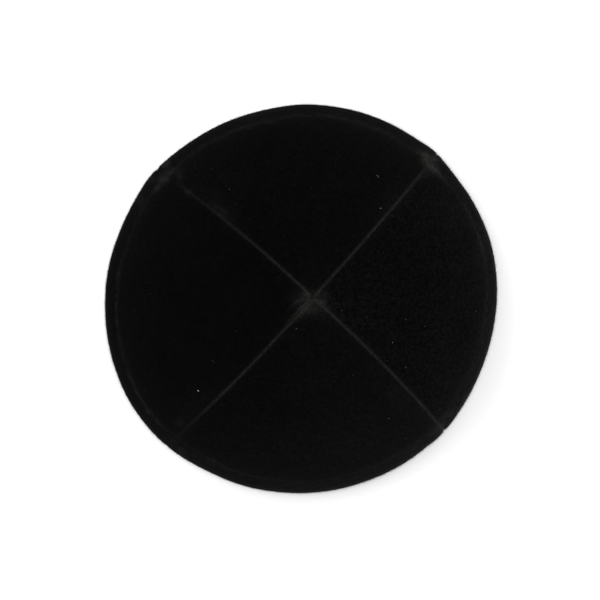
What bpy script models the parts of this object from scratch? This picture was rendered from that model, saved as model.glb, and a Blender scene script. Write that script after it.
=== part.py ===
"""A four-gore velvet skullcap, resting on its turned-under hem.

Metres, +Z up. Seen from above, +X is the cap's right and +Y its back. The rim stands on z = 0, and the
box round the cap is centred on x = y = 0.
"""

from collections import namedtuple
from math import acos, atan2, cos, exp, hypot, pi, radians, remainder, sin

import bmesh
import bpy
from mathutils import Vector

# Driving dimensions: the outline of the rim, seen from above
RIM_RADIUS = 0.0826  # mean radius
RIM_OVAL = 0.0013  # how far the long axis stands out past the mean radius, and the short axis stays in
RIM_OVAL_ANGLE = radians(36)  # direction of the long axis
RIM_TRIANGLE = 0.0003  # the rim is also a little fuller in three directions
RIM_TRIANGLE_ANGLE = radians(-50)  # one of the three
CORNER_SPREAD = radians(14)  # how far round the rim a seam's corner reaches, to each side

# Driving dimensions: the dome
CAP_HEIGHT = 0.053  # from the table to the top of the cloth
DOME_ANGLE = radians(67)  # half of the arc that each seam follows over the top
CROWN_RIGHT = 0.0052  # the point where the seams cross lies this far to the right of the rim's middle
CROWN_BACK = 0.0002  # and this far towards the back
CROWN_BUMP = 0.0005  # the bunched seam ends lift the cloth round the crossing
CROWN_BUMP_RADIUS = 0.010
SEAM_RIDGE = 0.0009  # at half height the seams stand out by this, and the middles of the gores stay in

# Driving dimensions: the cloth
WALL = 0.0018  # velvet with its backing
HEM_LAYER = 0.0010  # what the turned-under layer adds, pressed flat
FOOT_WIDTH = 0.0015  # flat strip that the fold of the hem rests on
STITCH_HEIGHT = 0.0104  # from the fold up the cloth to the topstitch line
STITCH_MARGIN = 0.0018  # the hem goes on past the stitches by this, inside the cap
HEM_EDGE_SLOPE = 0.0007  # length of the step down from the hem's edge to the single cloth
SEAM_GAP = 0.0003  # clearance between neighbouring gores
SEAM_ROLL_WIDTH = 0.0032  # the cloth turns in to a seam over this distance
SEAM_ROLL_DEPTH = 0.40 * WALL
STITCH_GROOVE_DEPTH = 0.20 * WALL

# The seams, anticlockwise from the front right. Bow and corner are shares of the rim's radius.
Seam = namedtuple("Seam", "rim_angle bow corner")
SEAMS = {
    # rim_angle: where the seam meets the rim; bow: how far it curves anticlockwise; corner: bulge at the rim
    "front_right": Seam(radians(-42.3), 0.014, 0.0085),
    "back_right": Seam(radians(46.8), -0.008, 0.0),
    "back_left": Seam(radians(137.9), -0.021, 0.0145),
    "front_left": Seam(radians(228.0), 0.010, 0.0075),
}

# The gores, each from the seam at its clockwise side to the next one. Shade is the grey of its pile.
Gore = namedtuple("Gore", "name first_seam second_seam shade")
GORES = (
    Gore("panel_right", "front_right", "back_right", 0.0050),
    Gore("panel_back", "back_right", "back_left", 0.0042),
    Gore("panel_left", "back_left", "front_left", 0.0036),
    Gore("panel_front", "front_left", "front_right", 0.0048),
)

PILE_ROUGHNESS = 0.9
PILE_SHEEN = 0.15
PILE_SHEEN_ROUGHNESS = 0.4

# Where the loft has its columns and rows
ROLL_COLUMNS = (0.0, 0.15, 0.40, 0.72, 1.0)  # shares of the seam roll's width
MOST_ROLL_SHARE = 0.2  # near the crown a roll takes no more of a row than this
MIDDLE_COLUMNS = 12
CROWN_ROWS = (0.0, 0.3, 0.65, 1.0)  # shares of the distance over which the rolls meet at the crown
DOME_ROWS = 9
STITCH_ROWS = (-1.0, -0.5, 0.0, 0.5, 1.0)  # shares of the stitch margin, from below the stitches to above
SHARP_ANGLE = radians(50)  # edges that turn by more than this are shaded as sharp

# The fold of the hem: a round with a flat foot, from its outer side to its inner side. The angle is
# measured from straight down, in shares of a right angle; roll_share is how much of the seam's roll it takes.
FoldPoint = namedtuple("FoldPoint", "angle roll_share")
FOLD_SIDE = (FoldPoint(1.0, 1.0), FoldPoint(0.68, 0.8))

# Worked out from the dimensions above
HEM_THICKNESS = WALL + HEM_LAYER
FOLD_RADIUS = HEM_THICKNESS / 2
FOOT_ANGLE = pi / 2 - acos(FOOT_WIDTH / 2 / FOLD_RADIUS)
FOLD_CENTRE_HEIGHT = FOLD_RADIUS * cos(FOOT_ANGLE)
HEM_EDGE = STITCH_HEIGHT + STITCH_MARGIN
DOME_HEIGHT = CAP_HEIGHT - CROWN_BUMP - FOLD_RADIUS
CROWN = Vector((CROWN_RIGHT, CROWN_BACK))


def rim_point(angle):
    """The outline of the rim seen from above, in a direction from its middle."""
    radius = RIM_RADIUS + RIM_OVAL * cos(2 * (angle - RIM_OVAL_ANGLE))
    radius += RIM_TRIANGLE * cos(3 * (angle - RIM_TRIANGLE_ANGLE))
    for seam in SEAMS.values():
        away = remainder(angle - seam.rim_angle, 2 * pi)
        radius += RIM_RADIUS * seam.corner * exp(-((away / CORNER_SPREAD) ** 2))
    return Vector((radius * cos(angle), radius * sin(angle)))


def meridian(reach, share):
    """The middle of the hem's thickness, carried on over the dome: how far out and how high it is, and the
    direction square to the cloth there, for a meridian that reaches this far out. The share is 0 at the
    crown and 1 at the fold."""
    angle = DOME_ANGLE * share
    span = (reach - FOLD_RADIUS) / sin(DOME_ANGLE)
    rise = (DOME_HEIGHT - FOLD_CENTRE_HEIGHT) / (1 - cos(DOME_ANGLE))
    out = span * sin(angle)
    high = FOLD_CENTRE_HEIGHT + rise * (cos(angle) - cos(DOME_ANGLE))
    square = Vector((rise * sin(angle), span * cos(angle))).normalized()
    return out, high, square


def meridian_length():
    """Length of the cloth from the crown to the fold, on a meridian of the mean radius."""
    steps = 64
    points = [meridian(RIM_RADIUS, step / steps)[:2] for step in range(steps + 1)]
    return sum(hypot(b[0] - a[0], b[1] - a[1]) for a, b in zip(points, points[1:]))


LENGTH = meridian_length()


class Sheet:
    """The cloth of one gore: turns a place on it into a point in space."""

    def __init__(self, gore):
        self.first = SEAMS[gore.first_seam]
        self.second = SEAMS[gore.second_seam]
        self.turn = (self.second.rim_angle - self.first.rim_angle) % (2 * pi)

    def column_angle(self, across):
        return self.first.rim_angle + self.turn * across

    def width(self, share):
        """How wide the gore is in a row, from seam to seam."""
        middle = rim_point(self.column_angle(0.5)) - CROWN
        return self.turn * meridian(middle.length, share)[0]

    def roll(self, across, share):
        """How far the outer face drops where the cloth turns in to a seam."""
        away = min(across, 1 - across) * self.width(share)
        return SEAM_ROLL_DEPTH * max(0.0, 1 - away / SEAM_ROLL_WIDTH) ** 2

    def place(self, across, share, out, high):
        """A point of the vertical plane of one meridian, in space. The plane is carried sideways by the bow
        of the seams to each side of it."""
        ray = rim_point(self.column_angle(across)) - CROWN
        direction = ray.normalized()
        bow = RIM_RADIUS * (self.first.bow + (self.second.bow - self.first.bow) * across)
        spread = sin(DOME_ANGLE * share) / sin(DOME_ANGLE)
        aside = direction.orthogonal() * bow * 4 * spread * (1 - spread)
        flat = CROWN + direction * out + aside
        return Vector((flat.x, flat.y, high))

    def point(self, across, share, depth):
        """A point this deep under the outer face, before that face turns in to a seam or a stitch."""
        reach = (rim_point(self.column_angle(across)) - CROWN).length
        out, high, square = meridian(reach, share)
        lift = FOLD_RADIUS - depth
        lift += SEAM_RIDGE * cos(2 * pi * across) * sin(pi * share) ** 2
        lift += CROWN_BUMP * exp(-((out / CROWN_BUMP_RADIUS) ** 2))
        return self.place(across, share, out + lift * square.x, high + lift * square.y)

    def outer_point(self, across, share):
        stitch_away = (1 - share) * LENGTH - STITCH_HEIGHT
        groove = STITCH_GROOVE_DEPTH * exp(-((2 * stitch_away / STITCH_MARGIN) ** 2))
        return self.point(across, share, self.roll(across, share) + groove)

    def inner_point(self, across, share):
        past_edge = (1 - share) * LENGTH - HEM_EDGE
        step = min(1.0, max(0.0, past_edge / HEM_EDGE_SLOPE))
        return self.point(across, share, HEM_THICKNESS - HEM_LAYER * step)

    def fold_points(self, across):
        """The fold under the rim, from its outer side over the flat foot to its inner side."""
        reach = (rim_point(self.column_angle(across)) - CROWN).length
        centre = reach - FOLD_RADIUS
        foot = FoldPoint(FOOT_ANGLE / (pi / 2), 0.0)
        inner_foot = FoldPoint(-foot.angle, 0.0)
        points = []
        for fold in FOLD_SIDE + (foot, inner_foot):
            angle = fold.angle * pi / 2
            radius = FOLD_RADIUS - fold.roll_share * self.roll(across, 1.0)
            out = centre + radius * sin(angle)
            high = FOLD_CENTRE_HEIGHT - radius * cos(angle)
            points.append(self.place(across, 1.0, out, high))
        return points

    def column_shares(self, share):
        """Where the columns cross a row: close together in the seam rolls, evenly spaced between them."""
        width = self.width(share)
        roll = MOST_ROLL_SHARE
        if width > 0:
            roll = min(MOST_ROLL_SHARE, SEAM_ROLL_WIDTH / width)
        left = [roll * step for step in ROLL_COLUMNS]
        middle = [roll + (1 - 2 * roll) * n / MIDDLE_COLUMNS for n in range(1, MIDDLE_COLUMNS)]
        right = [1 - step for step in reversed(left)]
        return left + middle + right


def row_shares():
    """Where the rows cross the meridians, from the crown to the fold."""
    near_stitch = [STITCH_HEIGHT + STITCH_MARGIN * step for step in STITCH_ROWS]
    from_fold = [0.0, near_stitch[0] / 2] + near_stitch + [HEM_EDGE + HEM_EDGE_SLOPE]
    rim_rows = [1 - distance / LENGTH for distance in reversed(from_fold)]
    crown_reach = 2 * SEAM_ROLL_WIDTH / (pi / 2) / LENGTH
    crown_rows = [crown_reach * step for step in CROWN_ROWS]
    step = (rim_rows[0] - crown_reach) / DOME_ROWS
    dome_rows = [crown_reach + step * n for n in range(1, DOME_ROWS)]
    return crown_rows + dome_rows + rim_rows


def gore_mesh(gore):
    """A closed loft: each column goes down the outer face, round the fold and back up inside. All columns
    start and end on the two crown points, one at the top of the cloth and one under it."""
    sheet = Sheet(gore)
    rows = row_shares()
    shares = [sheet.column_shares(row) for row in rows]
    columns = range(len(shares[0]))
    bm = bmesh.new()
    outer_crown = bm.verts.new(sheet.outer_point(0.5, rows[0]))
    inner_crown = bm.verts.new(sheet.inner_point(0.5, rows[0]))
    outer = []
    inner = []
    fold = []
    for column in columns:
        places = [(shares[row][column], rows[row]) for row in range(1, len(rows))]
        outer.append([outer_crown] + [bm.verts.new(sheet.outer_point(*place)) for place in places])
        inner.append([inner_crown] + [bm.verts.new(sheet.inner_point(*place)) for place in places])
        fold.append([bm.verts.new(point) for point in sheet.fold_points(shares[-1][column])])
    loops = [a + b + c[::-1] for a, b, c in zip(outer, fold, inner)]
    for left, right in zip(loops, loops[1:]):
        for corners in zip(left, left[1:], right[1:], right):
            bm.faces.new(dict.fromkeys(corners))
    for column in (0, -1):
        add_seam_face(bm, outer[column], inner[column], fold[column])
    bmesh.ops.recalc_face_normals(bm, faces=bm.faces[:])
    mesh = bpy.data.meshes.new(gore.name)
    bm.to_mesh(mesh)
    bm.free()
    mesh.shade_smooth()
    mesh.set_sharp_from_angle(angle=SHARP_ANGLE)
    return mesh


def add_seam_face(bm, outer, inner, fold):
    """Closes the side of a gore that meets its neighbour, from the crown down to the fold."""
    for row in range(1, len(outer)):
        corners = (outer[row - 1], outer[row], inner[row], inner[row - 1])
        bm.faces.new(dict.fromkeys(corners))
    bm.faces.new([outer[-1]] + fold + [inner[-1]])


def velvet(gore):
    """Black velvet: no shine, with a soft sheen from the tips of the pile."""
    material = bpy.data.materials.new("velvet_" + gore.name)
    material.use_nodes = True
    shader = material.node_tree.nodes["Principled BSDF"]
    shader.inputs["Base Color"].default_value = (gore.shade, gore.shade, gore.shade, 1.0)
    shader.inputs["Roughness"].default_value = PILE_ROUGHNESS
    shader.inputs["Metallic"].default_value = 0.0
    shader.inputs["Sheen Weight"].default_value = PILE_SHEEN
    shader.inputs["Sheen Roughness"].default_value = PILE_SHEEN_ROUGHNESS
    return material


def gap_shift(gore):
    """Moves a gore out along the middle of its wedge, far enough to clear both neighbours by half a gap."""
    rays = [rim_point(SEAMS[name].rim_angle) - CROWN for name in (gore.first_seam, gore.second_seam)]
    angles = [atan2(ray.y, ray.x) for ray in rays]
    wedge = (angles[1] - angles[0]) % (2 * pi)
    middle = angles[0] + wedge / 2
    shift = SEAM_GAP / 2 / sin(wedge / 2)
    return Vector((shift * cos(middle), shift * sin(middle), 0.0))


def build():
    for old in list(bpy.data.objects):
        bpy.data.objects.remove(old)
    collection = bpy.data.collections.new("skullcap")
    bpy.context.scene.collection.children.link(collection)
    cap = bpy.data.objects.new("skullcap", None)
    collection.objects.link(cap)
    corners = []
    for gore in GORES:
        panel = bpy.data.objects.new(gore.name, gore_mesh(gore))
        panel.data.materials.append(velvet(gore))
        panel.location = gap_shift(gore)
        panel.parent = cap
        collection.objects.link(panel)
        corners += [panel.location + vertex.co for vertex in panel.data.vertices]
    for axis in (0, 1):
        places = [corner[axis] for corner in corners]
        cap.location[axis] = -(min(places) + max(places)) / 2


build()
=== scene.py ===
"""Looks of the four-gore velvet skullcap: fine cloth, pile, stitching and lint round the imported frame.

Metres, +Z up. Seen from above, +X is the cap's right and +Y its back.
"""
from collections import namedtuple
from math import cos, pi, radians, sin

import bpy
import numpy as np
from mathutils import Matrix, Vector
from mathutils.bvhtree import BVHTree


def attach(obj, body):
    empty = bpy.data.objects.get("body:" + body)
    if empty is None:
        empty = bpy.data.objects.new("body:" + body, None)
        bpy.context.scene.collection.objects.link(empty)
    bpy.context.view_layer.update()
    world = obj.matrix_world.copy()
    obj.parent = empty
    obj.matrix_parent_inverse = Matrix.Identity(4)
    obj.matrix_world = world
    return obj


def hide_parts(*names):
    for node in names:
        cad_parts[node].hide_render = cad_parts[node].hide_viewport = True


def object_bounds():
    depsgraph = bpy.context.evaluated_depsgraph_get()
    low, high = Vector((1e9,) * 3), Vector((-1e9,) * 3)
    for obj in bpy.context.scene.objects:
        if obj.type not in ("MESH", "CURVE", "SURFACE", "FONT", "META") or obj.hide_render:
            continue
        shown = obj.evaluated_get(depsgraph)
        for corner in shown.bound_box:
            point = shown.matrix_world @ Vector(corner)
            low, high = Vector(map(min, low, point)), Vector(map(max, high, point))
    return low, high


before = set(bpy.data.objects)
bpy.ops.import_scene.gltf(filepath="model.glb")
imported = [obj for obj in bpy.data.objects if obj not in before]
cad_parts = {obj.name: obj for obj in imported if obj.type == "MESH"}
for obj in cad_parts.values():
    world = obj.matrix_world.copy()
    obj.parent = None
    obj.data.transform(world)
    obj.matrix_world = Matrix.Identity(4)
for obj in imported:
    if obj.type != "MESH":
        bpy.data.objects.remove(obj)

CAD_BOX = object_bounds()
MM = 0.001

# The cap's form: the same sizes as the solids, in metres
RIM_RADIUS = 0.0826
RIM_OVAL = 0.0013  # how far the rim is from round, as an oval and as a triangle
RIM_OVAL_ANGLE = radians(36)
RIM_TRIANGLE = 0.0003
RIM_TRIANGLE_ANGLE = radians(-50)
CORNER_SPREAD = radians(14)  # reach of the corner that each seam makes in the rim
CAP_HEIGHT = 0.053
DOME_ANGLE = radians(67)  # how steep the cloth is at the fold
CROWN = np.array([0.0045, 0.0009])  # the crossing of the seams
CROWN_BUMP = 0.0005
CROWN_BUMP_RADIUS = 0.010
SEAM_RIDGE = 0.0009
WALL = 0.0018  # velvet with its backing
HEM_LAYER = 0.0010  # what the turned-under layer adds
FOOT_WIDTH = 0.0015  # the flat strip that the fold rests on
STITCH_HEIGHT = 0.0104  # from the fold up the cloth to the topstitch
STITCH_MARGIN = 0.0018
HEM_EDGE_SLOPE = 0.0007
SEAM_ROLL_WIDTH = 0.0032
SEAM_ROLL_DEPTH = 0.40 * WALL
STITCH_GROOVE_DEPTH = 0.20 * WALL

# Soft bulges and flats of the worn hem: direction and spread in degrees, and how far out in mm
Bulge = namedtuple("Bulge", "direction spread out")
BULGES = [Bulge(*row) for row in (
    (15, 9, 0.28), (38, 5, -0.24), (48, 4, 0.6), (63, 9, -0.2), (90, 10, 0.16),
    (117, 14, 0.38), (141, 6, 0.46), (187, 8, -0.16), (211, 12, 0.56), (241, 8, -0.38),
    (262, 8, -0.14), (298, 9, 0.2), (310, 3, -0.24), (335, 13, -0.54), (355, 7, -0.16),
)]

# The seams: bow and corner as shares of the rim's radius, how much of the hollow is left at the hem, and how
# pale the seam is at five places from the crown
Seam = namedtuple("Seam", "rim_angle bow corner notch line")
SEAMS = {
    "front_right": Seam(radians(-42.6), 0.0150, 0.0085, 0.60, (1.05, 0.98, 1.22, 1.30, 1.55)),
    "back_right": Seam(radians(47.0), -0.0065, 0.0, 0.42, (0.85, 0.82, 0.88, 0.84, 0.50)),
    "back_left": Seam(radians(137.9), -0.0185, 0.0145, 0.60, (0.95, 0.76, 0.46, 0.16, 0.04)),
    "front_left": Seam(radians(227.2), 0.0165, 0.0075, 0.15, (0.95, 0.74, 0.86, 0.46, 0.10)),
}

# The gores, each from the seam at its clockwise side to the next one. The nap of each is how light its pile
# looks, grain how uneven, and specks how many bits of fine lint lie on it.
Gore = namedtuple("Gore", "name first_seam second_seam nap grain specks")
GORES = (
    Gore("panel_right", "front_right", "back_right", 1.01, 1.38, 120),
    Gore("panel_back", "back_right", "back_left", 1.03, 0.70, 55),
    Gore("panel_left", "back_left", "front_left", 1.03, 0.48, 36),
    Gore("panel_front", "front_left", "front_right", 1.02, 0.74, 48),
)

# How light the pile is drawn, by millimetres up from the fold: plainly, and how much more on the side it is
# brushed and lit towards. The rise at the fold is painted sheen; the lighter side is partly brushed pile and
# partly painted light.
Nap = namedtuple("Nap", "up plain brushed")
NAP_AND_SHEEN = [Nap(*row) for row in (
    (0, 3.8, 11), (1.2, 2.4, 7.8), (3, 1.35, 4.6), (4.5, 1.1, 3.7),
    (8, 1.1, 3.6), (10.4, 1.12, 3.2), (12.8, 1.32, 2.05), (20, 1.14, 1.86),
    (30, 1.14, 1.74), (50, 1.19, 1.06), (80, 1.15, 0.84),
)]
# The side the pile is drawn lighter towards, partly brushed and partly painted light, and how sharply
BRUSHED_AND_LIT_TOWARDS = radians(-38)
BRUSHED_AND_LIT_SHARPNESS = 2
INNER_TONE, INNER_PALE = 3.0, 0.30  # the same for the pile turned in, and how plain the seams are inside

# The nap's mottling: the size of its bumps, how much lighter or darker they are, and a seed
MOTTLES = ((24 * MM, 0.09, 21), (7 * MM, 0.07, 22), (3 * MM, 0.06, 23))

# Places where the pile lies open and paler, partly painted sheen, by their pixel in the photograph: along
# and square to turn, anticlockwise from the right, they reach this many pixels
Mark = namedtuple("Mark", "x y length width turn strength")
RAGGED_SIZE, RAGGED_REACH = 1.8 * MM, 2.0  # bumps of their edges, and how many pixels those reach
MARKS = [Mark(*row) for row in (
    (306.5, 293, 5, 3, -43, 0.46), (307, 303.5, 5, 3.5, 46, 0.34), (298, 297, 9, 7, 40, 0.12),
    (311.5, 297.5, 6, 5, 47, 0.42), (318.5, 292, 4.5, 3, 47, 0.3), (320.5, 301.5, 5, 3, -40, 0.75),
    (300.5, 300, 8, 2.2, 36, 0.34), (299.1, 309.6, 14, 1.3, 46, 0.46), (301.9, 312.4, 14, 1.3, 46, 0.34),
    (300.5, 311, 13, 1, 46, -0.62), (315, 309.5, 10, 6, 0, 0.24), (304, 311, 6, 5, 30, 0.2),
    (325, 295.5, 5, 3.5, 60, 0.16), (426.5, 157.5, 7, 3.4, -48, 0.8), (424.5, 163, 5, 4, -50, 0.28),
    (428, 173, 6, 4, 40, 0.2), (430, 164.5, 4, 4, 0, 0.4), (435.5, 170, 6, 3.4, -50, 0.8),
    (433.5, 157.5, 4, 3, -45, 0.4), (441.5, 176, 7, 2.2, -55, 0.26), (437, 159.5, 5, 2.4, -40, 0.32),
    (419, 153, 7, 2.6, -30, 0.22), (163.5, 178.5, 4.5, 4, 60, 0.5), (170.5, 172, 5.5, 3.4, 35, 0.34),
    (165.5, 164.5, 4, 3, 50, 0.36), (180, 175, 9, 3, 84, 0.14), (188, 191.5, 6, 2.2, -48, 0.24),
    (216, 207, 6, 2.4, -41, 0.08), (223.5, 213.5, 8, 3.2, -44, 0.12), (157, 187, 4.5, 3, 60, 0.3),
    (153, 178, 4, 3, 50, 0.14), (141, 201, 6, 3, 58, 0.12), (269, 121.5, 9, 1.8, 10, 0.1),
    (245, 128, 9, 1.8, 18, 0.11), (223, 137, 9, 1.8, 26, 0.1), (441, 426, 4, 3, 48, 0.6),
    (444, 417, 6, 1.8, 42, 0.42), (452, 414, 4, 3, 50, 0.26), (434, 431, 6, 5, 35, 0.26),
    (418, 444, 10, 3, 34, 0.12), (392, 457, 12, 2.4, 26, 0.1), (466, 398, 8, 2.2, 62, 0.12),
    (179.5, 422.5, 4.5, 4.5, 0, 0.14), (172, 441, 4, 3, -45, 0.2), (181, 451.5, 5, 2.4, -35, 0.26),
    (212, 461.5, 6, 1.8, -18, 0.22), (149, 412.6, 2, 1.8, 0, 0.3), (114, 300, 2.6, 34, 0, -0.08),
)]

# Broad patches where the pile is drawn lighter or darker, placed in the same way
SHADES = [Mark(*row) for row in (
    (190, 300, 60, 70, 0, -0.04), (112.5, 300, 7, 38, 0, -0.22), (218, 203, 26, 10, -41, 0.42),
    (228, 180, 24, 16, -35, 0.12), (198, 404, 20, 9, 47, 0.34), (228, 385, 18, 9, 47, 0.15),
    (392, 200, 22, 11, 48, 0.28), (392, 220, 9, 8, 48, 0.14), (416, 176, 8, 9, 0, 0.16),
    (452, 232, 16, 24, 0, 0.12), (427, 207, 28, 20, 0, 0.22), (412, 245, 30, 25, 0, 0.08),
    (396, 396, 26, 8, -43, 0.3), (386, 368, 14, 10, -43, 0.14), (352, 432, 34, 24, 10, 0.2),
    (282, 442, 30, 16, 0, 0.1), (242, 123, 34, 6, 22, 0.22), (300, 111, 28, 5, 0, 0.3),
    (246, 120, 26, 5, 18, 0.28), (358, 122, 26, 5, -19, 0.36), (398, 142, 18, 5, -34, 0.3),
    (303, 296, 16, 22, 0, 0.3), (326, 305, 9, 9, 0, 0.3), (463, 340, 14, 30, 0, -0.2),
    (432, 388, 18, 16, 0, -0.12), (481, 255, 6, 28, 0, 0.34), (250, 400, 22, 22, 0, 0.1),
    (335, 335, 30, 22, 0, -0.08),
)]

# How plainly the line of the topstitch shows, by its direction in degrees
Topstitch = namedtuple("Topstitch", "direction plain")
TOPSTITCH = [Topstitch(*row) for row in (
    (0, 0.6), (18, 1.1), (35, 0.6), (60, 0.8), (85, 0.55), (110, 0.65),
    (130, 0.2), (142, 0.2), (150, 0.35), (158, 0.3), (172, 0.7), (184, 0.95),
    (195, 0.5), (212, 0.75), (219, 1.3), (224, 0.1), (239, 0.05), (247, 0.8),
    (260, 0.35), (300, 0.5), (318, 0.2), (335, 0.5), (360, 0.6),
)]

# Lint, by its pixel in the photograph
Lint = namedtuple("Lint", "x y length pale")
LINT = [Lint(*row) for row in (
    (198.5, 390.5, 0.62, 0.42), (380.5, 208.5, 0.5, 0.17), (392.5, 342.5, 0.48, 0.13),
    (439.5, 409.5, 0.52, 0.085), (341.5, 310.5, 0.44, 0.08), (296.5, 328.5, 0.44, 0.08),
    (388.5, 418, 0.6, 0.07), (405.5, 367.5, 0.55, 0.062), (405.5, 438, 0.5, 0.055),
    (475.5, 311.5, 0.42, 0.07), (405.5, 319.5, 0.4, 0.07), (377.5, 176.5, 1.6, 0.055),
    (229.5, 189.5, 0.5, 0.055), (212.5, 360.5, 0.45, 0.052), (424.5, 326.5, 0.4, 0.052),
)]

# The finer lint all over: lengths in millimetres, how pale on average, and the spread of that
FINE_LINT_LENGTH = (0.3, 0.6)
FINE_LINT_PALE, FINE_LINT_SPREAD = 0.0072, 0.6
LINT_POINTS, LINT_CURL = 6, 0.5
LINT_LIFT, LINT_ARCH = 0.16 * MM, 0.10 * MM  # how high it lies, and how much higher its middle
LINT_THICKEST, LINT_THICKNESS = 0.13, 0.22  # its largest radius in millimetres, and as a share of its length

# Worked out from the sizes above
HEM_THICKNESS = WALL + HEM_LAYER
FOLD_RADIUS = HEM_THICKNESS / 2
FOOT_ANGLE = pi / 2 - np.arccos(FOOT_WIDTH / 2 / FOLD_RADIUS)
FOLD_CENTRE_HEIGHT = FOLD_RADIUS * cos(FOOT_ANGLE)
HEM_EDGE = STITCH_HEIGHT + STITCH_MARGIN
DOME_HEIGHT = CAP_HEIGHT - CROWN_BUMP - FOLD_RADIUS

# The fine cloth
FINE_COLUMN = 0.95 * MM  # spacing between the seam rolls, at the rim
FINE_ROW = 0.90 * MM
CROWN_STEPS = (0, 0.35, 0.75, 1.2, 1.7, 2.3, 3.0)  # rows nearest the crown, in millimetres
ALLOWANCE_WIDTH, ALLOWANCE_HEIGHT, ALLOWANCE_EDGE = 6.0, 0.45, 0.6  # mm, pressed-open seam edges inside
# How far from a seam the columns near it lie, in millimetres, out to the edge of its allowance
ROLL_STEPS = (0, 0.12, 0.28, 0.46, 0.68, 0.95, 1.3, 1.75, 2.3, 3, 3.8, 4.6)
ROLL_STEPS += (ALLOWANCE_WIDTH - ALLOWANCE_EDGE, ALLOWANCE_WIDTH - 0.4 * ALLOWANCE_EDGE, ALLOWANCE_WIDTH)
STITCH_STEPS = (-3, -2.3, -1.8, -1.4, -1, -0.7, -0.45, -0.2, 0, 0.2, 0.45, 0.7, 1, 1.4, 2)
MOST_REACH = 0.44  # the share of a narrow row that the columns near one seam may take
FOLD_STEPS = 12
FOLD_SHARES = np.linspace(0, 1, FOLD_STEPS + 1)[1:-1]
CREASE_DEPTH = 0.16 * MM  # the cloth's last turn into a seam
CREASE_WIDTH = 0.42 * MM
INNER_CREASE = 0.8  # how far the allowances part at the seam, as a share of their height
HEM_ROLL = 0.45  # how much narrower the cloth's turn into a seam gets at the hem
WAVE_SIZE, WAVE_DEPTH = 17 * MM, 0.16 * MM  # soft unevenness of the cloth
TUCK_SIZE, TUCK_DEPTH = 6 * MM, 0.10 * MM  # small tucks of the hem
TUCK_PLACE, TUCK_SHARPNESS = 0.55, 5  # how far up the hem they lie
PUCKER_DEPTH = 0.07 * MM  # pull of each stitch
PUCKER_WIDTH, SEAM_PUCKER_WIDTH = 1.6 * MM, 1.7 * MM
INNER_UNEVENNESS = 0.6  # how much of all this shows inside
GAP = 0.2 * MM  # the gaps between the solids, taken up by the cloth
WAVE_SEED, TUCK_SEED = 3, 5
RAGGED_SEEDS, STITCH_SEED, LINT_SEED = (31, 32), 41, 7
PILE_SLOT, BACKING_SLOT = 0, 1
# The map of a gore: its margin, width and height, then the two strips beside it for the faces to the seams
MAP_MARGIN, MAP_WIDTH, MAP_HEIGHT = 0.01, 0.93, 0.98
FIRST_STRIP, SECOND_STRIP, STRIP_WIDTH = 1.015, 1.04, 0.015

# Pile fibres that stand out: how many a millimetre or square millimetre, how many millimetres long, how far
# they lean over, and how much lighter than the cloth they look
Fibres = namedtuple("Fibres", "place density length lean light")
FIBRES = [Fibres(*row) for row in (
    ("panel", 0.85, 0.75, 0.9, 1.35),
    ("seam", 18, 0.70, 0.7, 1.2),
    ("stitch", 11, 0.70, 0.9, 1.1),
    ("rim", 22, 0.70, 0.8, 1.1),
    ("crown", 300, 0.75, 0.8, 1.2),
)]
FLECK_SHARE, FLECK_LIGHT = 0.02, (3, 10)  # fibres that catch the light, and how much lighter they look
FIBRE_RADIUS = 0.030 * MM
FIBRE_SINK = 0.08 * MM  # how deep they root
FIBRE_LENGTHS, FIBRE_SWAY = (0.55, 1.25), 0.55  # shares of the length and of the lean above
FIBRE_PALES, FIBRE_LIGHTS = (0.8, 1.7), (-0.1, 0.5)  # the second: middle and spread of a logarithm
SEAM_LEAN, PANEL_LEAN = 0.8, 0.55  # away from a seam, and down the cloth
PANEL_AREA = 0.55  # a gore's area, as a share of the rectangle round it
SEAM_FIBRE_SPREAD, STITCH_FIBRE_SPREAD, CROWN_FIBRE_SPREAD = 0.35, 0.7, 0.035  # mm, mm, share of the cloth
RIM_FIBRES_END, RIM_FIBRES_CROWDING = 0.55, 1.5  # how far round the fold they stand

# The stitches of the hem
STITCH_LENGTH = 3.3 * MM
STITCH_RADIUS = 0.19 * MM
STITCH_DIP = 0.36 * MM
STITCH_SINK = 0.35  # how high its middle lies, as a share of its radius
STITCH_SAG = 0.45 * MM  # how far below the stitches the opened pile lies
LIP_PAINTED_SHEEN, LIP_DROP, LIP_WIDTH = 0.085, 0.85 * MM, 0.45 * MM  # painted sheen on the lower lip of the stitched groove
STITCH_LIGHT = 0.0032  # how much lighter than the pile round it a stitch is where it shows
STITCH_LENGTHS, STITCH_PALES = (0.75, 1.08), (0.4, 1.4)
STITCH_POINTS, STITCH_TILT, STITCH_STRAY = 7, 0.10, 0.16  # the last two in millimetres
STITCH_FREE = 0.012  # no stitch lies nearer to a seam, as a share of the gore's width
THREAD_END = 0.45  # thickness of a thread's ends, as a share of its own
HEM_STITCH = 4.0 * MM  # from stitch to stitch
SEAM_STITCH = 2.5 * MM

# How the open pile shows, its paleness partly painted sheen: bumps and seeds of its fine, broken and patchy
# unevenness, then how pale and how wide each line and the halo round it are
OPEN_BUMPS = ((0.9 * MM, 11), (2.6 * MM, 12), (9 * MM, 13))
SEAM_PALE, SEAM_PALE_WIDTH = 0.80, 0.52 * MM
SEAM_HALO, SEAM_HALO_WIDTH = 0.05, 2.4 * MM
STITCH_PALE, STITCH_PALE_WIDTH = 0.22, 0.85 * MM
STITCH_HALO, STITCH_HALO_WIDTH = 0.08, 2.2 * MM
SEAM_PLACES = (0, 0.25, 0.5, 0.75, 1)  # where the five values of each seam's line hold

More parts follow.
